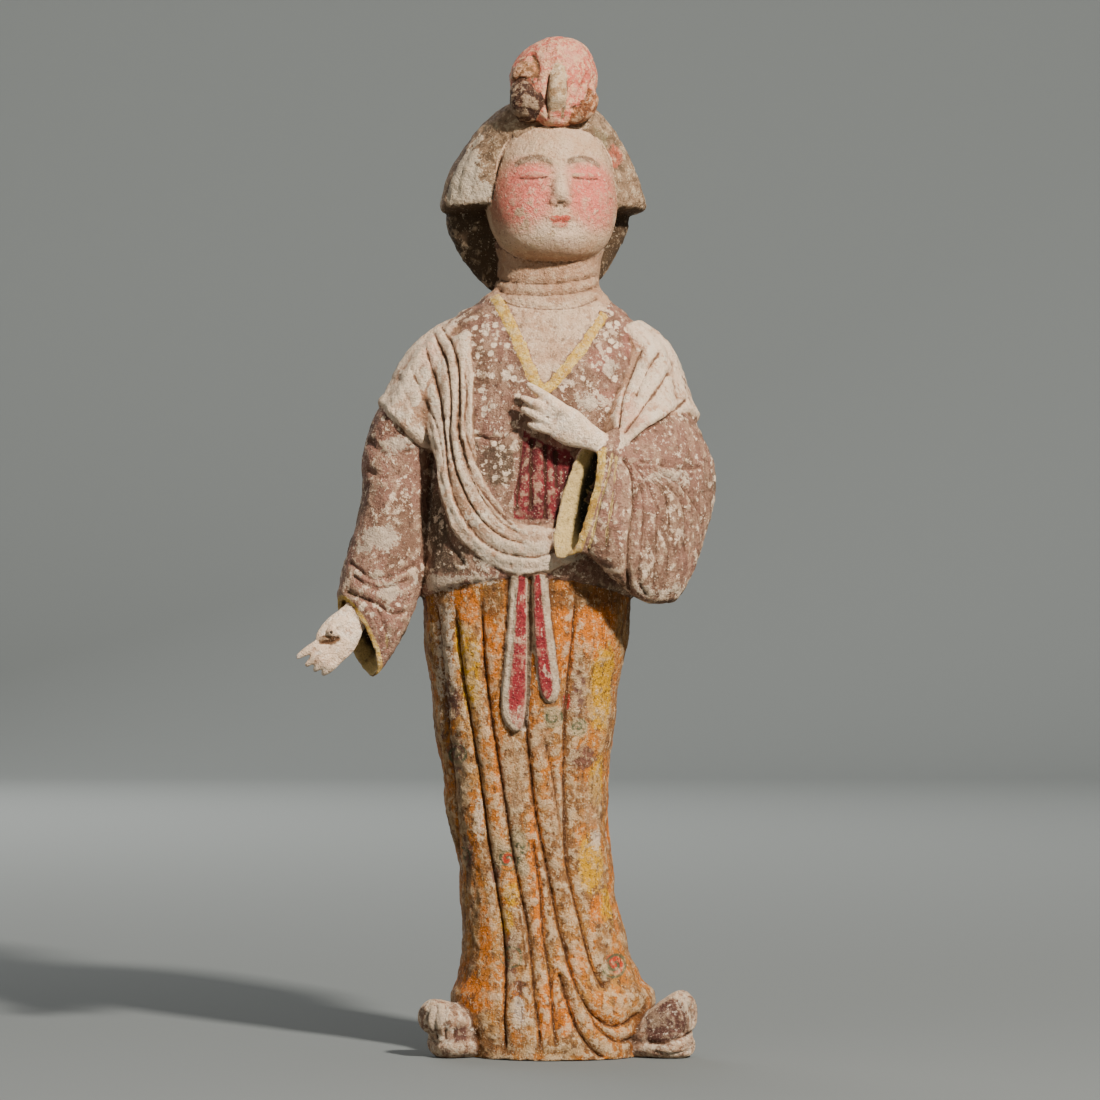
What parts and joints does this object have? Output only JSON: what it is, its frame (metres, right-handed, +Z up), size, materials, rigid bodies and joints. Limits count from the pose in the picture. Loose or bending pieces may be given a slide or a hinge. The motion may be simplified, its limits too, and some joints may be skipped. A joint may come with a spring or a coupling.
{
  "type": "pottery court lady figure",
  "caption": "Standing court lady in painted pottery, with a knot of hair, a draped shawl, wide sleeves, a long fluted skirt and upturned shoes.",
  "frame": {"origin": "middle of the flat underside that she stands on", "axes": "+Z up through her head, she faces -Y, +X towards her left hand"},
  "size_m": [0.2134, 0.112, 0.5207],
  "materials": {
    "painted_clay": "matt fired earthenware with worn and flaking mineral colours over a pale slip, and some earth in the folds"
  },
  "bodies": {
    "root": {"court_lady": "painted_clay"}
  },
  "joints": []
}
